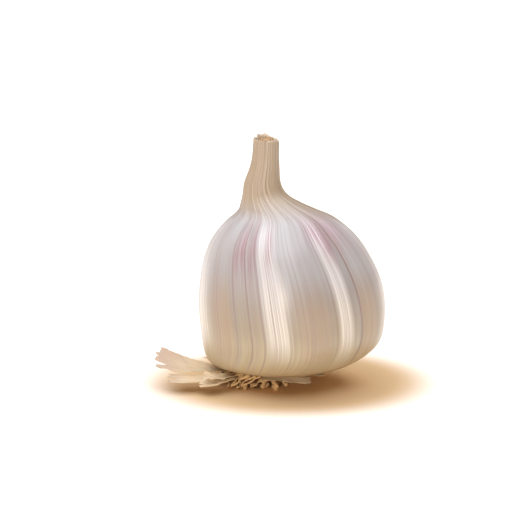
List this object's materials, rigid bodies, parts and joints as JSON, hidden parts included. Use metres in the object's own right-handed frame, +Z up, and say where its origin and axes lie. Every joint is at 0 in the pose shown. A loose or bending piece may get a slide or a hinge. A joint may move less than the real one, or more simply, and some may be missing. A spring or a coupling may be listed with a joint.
{
  "type": "garlic bulb",
  "caption": "Whole dried garlic bulb in papery skin with a cut neck, trimmed roots and torn outer skins, standing on its roots.",
  "frame": {"origin": "on the surface the bulb stands on, at the cut end of the middle root, under the middle of the root plate", "axes": "+Z up towards the cut neck, the front faces -Y, and +X is the side that the belly bulges to"},
  "size_m": [0.0725, 0.0542, 0.0785],
  "materials": {
    "white_skin": "smooth papery skin with a satin sheen, faint lengthwise veins and a rosy tint at the shoulder",
    "neck_fibre": "dry straw-coloured leaf sheaths, cut across",
    "cork": "rough corky root plate",
    "root_fibre": "dry fibrous root stubs",
    "torn_skin": "brittle torn outer skin, matt to satin"
  },
  "bodies": {
    "root": {"bulb": "white_skin", "crumpled_skin_left": "torn_skin", "low_skin_left": "torn_skin", "neck_core": "neck_fibre", "peeled_skin_left": "torn_skin", "root_01": "root_fibre", "root_02": "root_fibre", "root_03": "root_fibre", "root_04": "root_fibre", "root_05": "root_fibre", "root_06": "root_fibre", "root_07": "root_fibre", "root_08": "root_fibre", "root_09": "root_fibre", "root_10": "root_fibre", "root_11": "root_fibre", "root_12": "root_fibre", "root_13": "root_fibre", "root_14": "root_fibre", "root_15": "root_fibre", "root_16": "root_fibre", "root_17": "root_fibre", "root_18": "root_fibre", "root_19": "root_fibre", "root_20": "root_fibre", "root_21": "root_fibre", "root_22": "root_fibre", "root_23": "root_fibre", "root_24": "root_fibre", "root_25": "root_fibre", "root_26": "root_fibre", "root_27": "root_fibre", "root_28": "root_fibre", "root_29": "root_fibre", "root_30": "root_fibre", "root_31": "root_fibre", "root_32": "root_fibre", "root_33": "root_fibre", "root_34": "root_fibre", "root_35": "root_fibre", "root_36": "root_fibre", "root_37": "root_fibre", "root_38": "root_fibre", "root_39": "root_fibre", "root_40": "root_fibre", "root_41": "root_fibre", "root_42": "root_fibre", "root_43": "root_fibre", "root_44": "root_fibre", "root_plate": "cork", "skin_fringe_right": "torn_skin", "skin_scrap_back_left": "torn_skin", "skin_scrap_back_right": "torn_skin", "skin_scrap_right": "torn_skin", "skin_shard_front": "torn_skin"}
  },
  "joints": []
}
